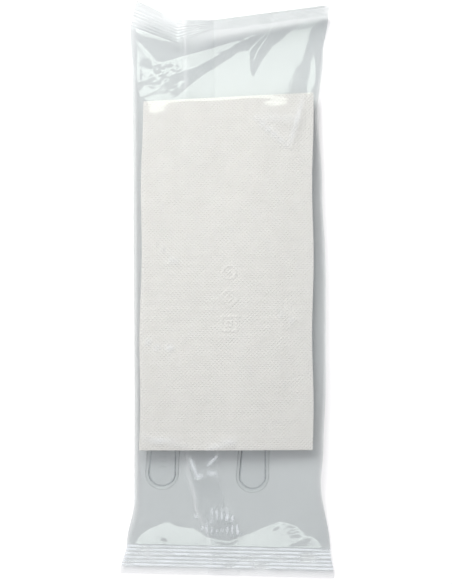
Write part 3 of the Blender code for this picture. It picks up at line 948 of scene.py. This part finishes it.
# The tube's sides, and where the fin leaves its back: (place along the pack, x)
LEFT_EDGE = [
    (-133.2, -50.2), (-119, -46.9), (-99, -43.4), (-60, -43.3), (40, -43.9), (95, -44.2), (119.6, -45.3),
]
RIGHT_EDGE = [
    (-133.2, 50.2), (-120, 48.4), (-89, 44.0), (-72, 45.0), (-41, 46.2), (6, 46.2), (52, 44.4),
    (86, 42.4), (109, 44.9), (119.6, 47.4),
]
FIN_ROOT = [(-133.2, -9.0), (-119, -9.5), (-99, -16.5), (-84, -20.0), (110, -21.0), (133.2, -21.5)]
FIN_WIDTH = 15.0
print("pack", 2 * PACK_HALF, "mm long")

# %% Points round the web
web = []  # (part of the web, place across that part)
web += [("fin_low", 1 - i / 12) for i in range(12)]
web += [("back_left", 1 - i / 9) for i in range(9)]
edge_shares = [0.0, 0.004, 0.011, 0.021, 0.034]
FRONT_CELLS = 114
front = edge_shares + [mix(0.05, 0.95, i / FRONT_CELLS) for i in range(FRONT_CELLS + 1)]
front += [1 - share for share in reversed(edge_shares)]
web += [("front", share) for share in front]
web += [("back_right", 1 - i / 20) for i in range(1, 20)]
web += [("fin_high", i / 12) for i in range(13)]
part_of = np.array([name for name, _ in web])
place_on = np.array([place for _, place in web])
steps_along = [(13.6, 0.33), (41.0, 0.75), (61.0, 1.2), (221.0, 2.4), (252.8, 0.62), (266.4, 0.33)]
stations = -PACK_HALF + cells(*steps_along)
film, column, row = add_grid("film_flow_wrap", len(web) - 1, len(stations) - 1)
part, share, y = part_of[column], place_on[column], stations[row]
print(len(web), "points round the web,", len(stations), "along it")

# %% [markdown]
# The plain tube comes from three things at each row: its two sides, how far its front and its back have
# opened from the flat seal, and the rounding of its long edges. The crimps are a sine wave pressed into both
# walls, and the fin is two more layers under the back.

# %% Film tube


def opening(y, low, high):
    """0 in the seals, 1 where the tube has opened."""
    from_near = (y + SEAL_START) / (low + SEAL_START)
    from_far = (SEAL_START - y) / (SEAL_START - high)
    return ease(np.where(y < 0, from_near, from_far))


opened, flat_back = opening(y, FULL_FROM, FULL_TO), opening(y, FLAT_FROM, FLAT_TO)
left, right = through(LEFT_EDGE, y), through(RIGHT_EDGE, y)
width = right - left
fin_root = through(FIN_ROOT, y)
into_seal = np.abs(y) - SEAL_START
crimped = (into_seal > 0) & (into_seal < CRIMPS * CRIMP_PITCH)
crimp = np.where(crimped, CRIMP_HEIGHT * np.sin(2 * pi * into_seal / CRIMP_PITCH), 0.0)
edge_z = mix(SEAL_Z + crimp, EDGE_Z, 0.5 * (opened + flat_back))

is_front = part == "front"
is_fin = (part == "fin_low") | (part == "fin_high")
x = np.select(
    [is_front, part == "back_left", part == "back_right"],
    [left + share * width, left + (fin_root - left) * share, right + (fin_root - right) * (1 - share)],
    fin_root + FIN_WIDTH * share,
)
# The long edges turn over within 4.6 mm of the side in front and 3.4 mm behind
inward = np.minimum(x - left, right - x)
round_edge = np.sqrt(1 - (1 - np.clip(inward / 4.6, 0, 1)) ** 2)
front_full = mix(edge_z, TOP_Z, 0.93 * round_edge + 0.07 * ease(inward / 14))
front_z = mix(SEAL_Z + crimp + 0.1, front_full, opened)
round_back = np.sqrt(1 - (1 - np.clip(inward / 3.4, 0, 1)) ** 2)
back_full = mix(edge_z, BACK_Z, round_back)
back_z = mix(SEAL_Z + crimp - 0.03, back_full, flat_back)
back_z -= np.where(part == "back_left", 0.3 * ease((x - fin_root + 3) / 3), 0)
fin_z = mix(SEAL_Z + crimp - 0.13, BACK_Z - 0.14, flat_back)
fin_z -= np.where(part == "fin_low", 0.16, 0.0)
fin_rib = 0.05 * np.cos(pi * share * 12)
z = np.where(is_front, front_z, np.where(is_fin, fin_z + fin_rib * share, back_z))
z = np.where(is_front & (inward < 0.05), mix(front_z, back_z, 0.5), z)
print("tube", round(float(width.min()), 1), "to", round(float(width.max()), 1), "mm wide")

# %% [markdown]
# Where the tube comes down to its ends, the film does not curve. It breaks into flat facets between straight
# folds, and each facet mirrors one part of the room. So the fold lines are listed one by one, each through a
# few points, and a constrained triangulation fills the facets between them.

# %% Facets between fold lines


def facets(lines, x, y):
    """Height of the flat facets between fold lines of (x, y, z), and where there are any."""
    points = sorted({point for line in lines for point in line})
    edges = [(points.index(a), points.index(b)) for line in lines for a, b in zip(line, line[1:])]
    flat = [Vector(p[:2]) for p in points]
    _, _, faces, origin, _, _ = geometry.delaunay_2d_cdt(flat, edges, [], 0, 1e-4)
    out, found = np.zeros_like(x), np.zeros(x.shape, bool)
    for face in faces:
        (x0, y0, z0), (x1, y1, z1), (x2, y2, z2) = [points[origin[i][0]] for i in face]
        area = (x1 - x0) * (y2 - y0) - (x2 - x0) * (y1 - y0)
        b = ((x - x0) * (y2 - y0) - (x2 - x0) * (y - y0)) / area
        c = ((x1 - x0) * (y - y0) - (x - x0) * (y1 - y0)) / area
        inside = (b >= -1e-6) & (c >= -1e-6) & (b + c <= 1 + 1e-6)
        out[inside] = (z0 + b * (z1 - z0) + c * (z2 - z0))[inside]
        found |= inside
    return out, found


# From the napkin's far edge down to the curled seal
FAR_FOLDS = [
    [(-47, 86.5, 9.8), (-26, 88, 9.85), (0, 88.8, 9.85), (18, 90, 9.85), (47, 88, 9.8)],
    [(x, y, height) for x, y, _, height in FAR_CURL],
    [
        (-26, 88, 9.85), (-10.6, 101.9, 7.0), (2.7, 110.5, 5.2), (5.3, 112.5, 4.8), (10.6, 113.2, 4.8),
        (11.3, 99.9, 7.8),
    ],
    [(11.3, 99.9, 7.8), (15.9, 108.5, 6.1), (19.9, 113.8, 5.1), (36.4, 127.1, 2.6), (39.4, 123.8, 3.2)],
    [(39.4, 123.8, 3.2), (35.1, 107.2, 6.4), (31.8, 103.3, 7.1), (27.2, 96, 8.5), (18, 90, 9.85)],
    [
        (-31.4, 106.6, 7.2), (-13.2, 104.6, 7.9), (-2.6, 110.5, 6.5), (6, 115.8, 5.4), (21.2, 123.1, 4.0),
        (36.4, 127.1, 2.6),
    ],
    [(-31.4, 106.6, 7.2), (-10.6, 112.5, 5.9), (8, 118.5, 4.8), (22.5, 124, 3.8), (36.4, 127.1, 2.6)],
    [(-44, 121.5, 4.2), (-31.4, 106.6, 7.2), (-34, 104.5, 7.75), (-44, 121.5, 4.2)],
    [(-42.8, 121, 5.4), (-30.4, 107.4, 7.1)],
    [(11.3, 99.9, 7.8), (12.6, 107.5, 7.6), (14.5, 112.8, 6.4)],
    [(44, 97, 7.5), (46, 110, 4.8), (47, 122, 3.6)],
    [(-44, 96, 7.5), (-45, 108, 5.2)],
    [(-35, 99, 8.6), (-30, 96, 9.0), (-24, 101, 8.8), (-19, 98.5, 8.2)],
    [(-38, 104, 6.8), (-27, 104, 7.7)],
]
# From the napkin's near edge down to the flat seal
NEAR_FOLDS = [
    [(-50, -75, 9.8), (0, -75, 9.85), (50, -75, 9.8)],
    [(-50, -118.4, 2.1), (-26, -119.0, 2.1), (0, -119.6, 2.1), (26, -120.2, 2.1), (50, -120.8, 2.1)],
    [
        (-35.9, -110.3, 5.8), (-27.4, -106.8, 7.2), (-23.2, -109.3, 6.3), (-16.8, -110.3, 6.0),
        (-9.1, -115.3, 4.0),
    ],
    [(-9.1, -115.3, 4.0), (0.8, -117.4, 3.3), (10.7, -113.2, 5.0), (24.9, -106.8, 7.8), (29.8, -108.2, 7.2)],
    [(29.8, -108.2, 7.2), (34, -110.3, 6.4), (39.7, -114.6, 4.8), (48, -120.6, 2.2)],
    [(34, -110.3, 6.4), (36.5, -115, 4.9), (35.5, -119.9, 2.2)],
    [(-46, -118, 2.4), (-35.9, -110.3, 5.8)],
    [(-44, -100, 5.5), (-44, -90, 6.5)],
    [(44, -100, 5.5), (44, -90, 6.5)],
    [(-30, -92, 8.6), (0, -94, 8.2), (30, -92, 8.7)],
]
print(len(FAR_FOLDS), "fold lines at the far end and", len(NEAR_FOLDS), "at the near end")

# %% [markdown]
# Over the napkin and between the handles the film is pinched into creases, each a low ridge between two
# points.

# %% Creases


def tent(x, y, start, end, width, height):
    """A pinched crease between two points, as a ridge that fades at its ends."""
    along = np.array(end, float) - start
    length = np.hypot(*along)
    t = ((x - start[0]) * along[0] + (y - start[1]) * along[1]) / length**2
    off = np.abs((x - start[0]) * along[1] - (y - start[1]) * along[0]) / length
    return height * np.clip(1 - off / width, 0, 1) * np.sin(pi * np.clip(t, 0, 1)) ** 0.6


# (start, end, half width, height)
CREASES = [
    ((-17.5, -77.1), (-13.3, -87), 1.6, 0.9),
    ((-15, -86), (-10.5, -85.5), 1.4, 0.6),
    ((-9.8, -81.4), (-4.1, -76), 1.2, 0.8),
    ((-9.9, -84.2), (-4.2, -84.6), 1.6, 0.6),
    ((-33.4, 21.4), (-28.2, 19.5), 1.4, 0.3),
    ((-27.7, 14.8), (-21.6, 14.8), 1.4, 0.25),
    ((-39.5, -21.9), (-30, -27.5), 1.4, 0.4),
    ((-30, -27.5), (-23.5, -25.1), 1.4, 0.4),
    ((23.5, -10.6), (31.5, -13.4), 1.4, 0.3),
    ((12.2, 81.5), (28.7, 67), 2.2, 0.3),
    ((28.7, 67), (35.7, 91), 2.2, 0.3),
    ((12.2, 81.5), (35.7, 80.6), 2.2, 0.3),
    ((-42.3, -67), (-17.4, -71.7), 2.5, 0.8),
    ((-10.3, -73.6), (6, -68.4), 2.5, 0.6),
]
print(len(CREASES), "creases")

# %% [markdown]
# Now the straight tube is laid down. Both ends are cut a little off square. The far seal has puckered at a
# pleat and curls up, so its rows turn about its lower border, and the film before it is drawn to that
# border. Then the folds replace the plain slopes, except along the sides, where the tube stays round.

# %% Lay the film down
cut = y + CUT_SLOPE * x
curl_x, curl_y, curl_tilt, curl_z = np.array(FAR_CURL, float).T
border = np.interp(x, curl_x, curl_y)
tilt = np.radians(np.interp(x, curl_x, curl_tilt))
border_z = np.interp(x, curl_x, curl_z)
t = np.clip((y - FULL_TO) / (SEAL_START - FULL_TO), 0, 1)
slope_y = mix(cut, mix(FULL_TO, border, t), t)
slope_z = z + (border_z - SEAL_Z) * ease(t) ** 2

sealed = y > SEAL_START
into, lift = y - SEAL_START, z - SEAL_Z
laid_x = x + np.where(sealed, into * 0.26 * ease((-20 - x) / 25), 0)
laid_y = np.where(sealed, border + into * np.cos(tilt) - lift * np.sin(tilt), slope_y)
laid_z = np.where(sealed, border_z + into * np.sin(tilt) + lift * np.cos(tilt), slope_z)
print("the far seal stands", round(float(laid_z.max()), 1), "mm high")

# %% Folds and creases in place
side_room = ease((inward - 1.0) / 5.0)
for folds, inner_y, outer_y in ((FAR_FOLDS, 87.0, 89.0), (NEAR_FOLDS, -74.5, -77.0)):
    folded, found = facets(folds, laid_x, laid_y)
    reach = ease((y - inner_y) / (outer_y - inner_y)) * side_room
    use = is_front & found & (into_seal < 0)
    laid_z = np.where(use, mix(laid_z, folded, reach), laid_z)
    print(int(use.sum()), "points lie on facets")
for start, end, wide, high in CREASES:
    laid_z += np.where(is_front, tent(laid_x, laid_y, start, end, wide, high), 0)

# %% [markdown]
# Trapped air lifts three soft bulges over the napkin's far edge, and a slow wrinkle runs all over the front.
# In three places and along one valley the film is crumpled: there the height follows the absolute value of
# noise, which makes sharp ridges.

# %% Bulges, wrinkle and crumples
BULGES = [(-31, 79, 8, 2.0), (25, 83, 9, 2.0), (-5, 74, 14, 1.2)]  # (x, y, radius, height)
CRUMPLES = [(-30, 101, 10, 5.5, 1.0), (28, -112, 7, 4, 0.9), (-30, -116, 4, 3, 0.9)]  # (x, y, radii, share)
WRINKLE_HEIGHT, CRUMPLE_HEIGHT = 0.28, 1.3


def film_noise(across, along, seed):
    """Smooth noise at every point; across and along are waves to a millimetre."""
    return np.array([noise.noise((a * across, b * along, seed)) for a, b in zip(laid_x, laid_y)])


for middle_x, middle_y, wide, high in BULGES:
    bulge = np.exp(-((laid_x - middle_x) ** 2 + (laid_y - middle_y) ** 2) / wide**2)
    laid_z += np.where(is_front, high * bulge * side_room, 0)

wrinkle = film_noise(0.05, 0.035, 3.0)
laid_z += np.where(is_front, WRINKLE_HEIGHT * wrinkle * opened * side_room, 0)
rough = film_noise(0.29, 0.33, 11.0)
to_valley = laid_y - 107 - 0.54 * (laid_x + 9)
crumpled = 0.35 * np.exp(-((to_valley / 2) ** 2)) * band(laid_x - 3, 18)
for middle_x, middle_y, wide, long, share_here in CRUMPLES:
    spread = ((laid_x - middle_x) / wide) ** 2 + ((laid_y - middle_y) / long) ** 2
    crumpled += share_here * np.exp(-spread)
laid_z -= np.where(is_front, CRUMPLE_HEIGHT * crumpled * np.abs(rough) * side_room, 0)
set_places(film, laid_x, laid_y, laid_z)
print("film reaches", round(float(laid_z.max()), 1), "mm up")

# %% [markdown]
# The material's two attributes are painted by place: where layers are welded, and where the film is strained
# milky and carries painted highlights. These white lines follow the crests of the crimps, the gathers over
# the fin near the flat seal, and the creases. They are partly strain whitening and partly painted highlights
# of the lamps, and slow noise breaks them up.

# %% Where the film is welded


def paint(ob, name, values):
    """Stores one number for each vertex, for the material to read."""
    ob.data.attributes.new(name, "FLOAT", "POINT").data.foreach_set("value", values)
    print(name, "on", int((values > 0).sum()), "points")


end_weld = np.select([y > 0, crimped, into_seal > 0], [0.0, 0.3, 0.7], 0.0)
paint(film, "welded", np.where(is_fin, 1.0, end_weld))

# %% Where the film is strained milky, with painted highlights
GATHER_PITCH = 2.4  # between the gathers over the fin

patchy = film_noise(0.12, 0.3, 7.0)
# Crimp crests: strain whitening and painted highlight lines, strong at the near seal and faint at the far one
crest = crimped & is_front & (crimp > 0.5 * CRIMP_HEIGHT)
milky_and_highlight_lines = np.where(crest, np.where(y < 0, 1.0, 0.12), 0.0) * np.clip(0.7 + 1.4 * patchy, 0, 1)
# Gathers over the fin near the flat seal: strain whitening and painted highlight lines
over_fin = (laid_x - fin_root) / FIN_WIDTH
gather = is_front & (over_fin > 0) & (over_fin < 1.2) & (np.cos(2 * pi * laid_x / GATHER_PITCH) > 0.2)
near_seal = band(laid_y + 108, 10) * (laid_y > -116.5)
milky_and_highlight_lines += np.where(gather, near_seal, 0.0) * np.clip(0.4 + 2.2 * patchy, 0, 1)
# Creases: strain whitening and painted glints, strongest in the near creases
for start, end, wide, _ in CREASES:
    strong = 0.8 if start[1] < -74 else 0.3
    milky_and_highlight_lines += np.where(is_front, tent(laid_x, laid_y, start, end, 0.75 * wide, strong), 0.0)
paint(film, "whitened", np.clip(milky_and_highlight_lines, 0, 1))

# %% Film thickness
apply_modifier(film, "SOLIDIFY", thickness=0.05 * MM, offset=0)
finish_piece(film, film_material, "film_wrap", 50)
